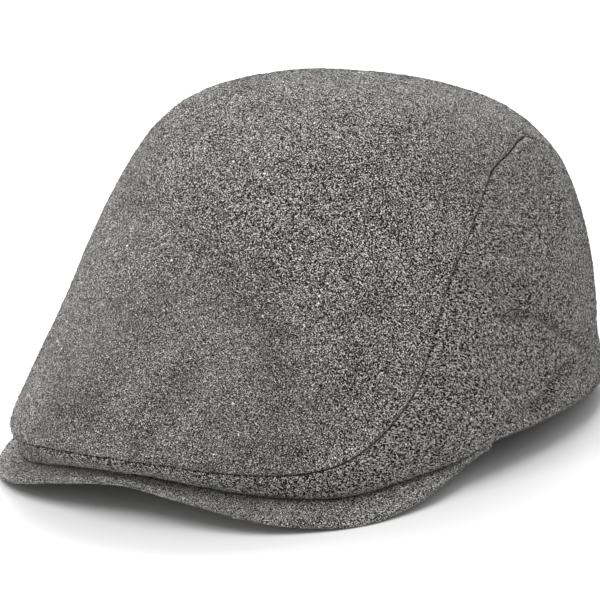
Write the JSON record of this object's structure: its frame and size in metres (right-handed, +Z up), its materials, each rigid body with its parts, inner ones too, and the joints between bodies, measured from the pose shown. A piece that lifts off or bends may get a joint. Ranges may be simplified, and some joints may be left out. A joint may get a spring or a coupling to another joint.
{
  "type": "flat cap",
  "caption": "Duckbill flat cap in grey melange wool: one top panel running down the back, two side panels and a covered arched peak.",
  "frame": {"origin": "middle of the footprint, on the floor that the cap rests on", "axes": "-Y is the front, where the peak points, +X is the wearer's left, +Z is up"},
  "size_m": [0.1998, 0.2634, 0.1406],
  "materials": {
    "crown_wool": "grey melange wool flannel, felted, salt and pepper with white flecks",
    "peak_wool": "the same grey melange wool flannel, drawn tight over a stiff board"
  },
  "bodies": {
    "root": {"top_panel": "crown_wool", "side_panel_left": "crown_wool", "side_panel_right": "crown_wool", "peak": "peak_wool"}
  },
  "joints": []
}
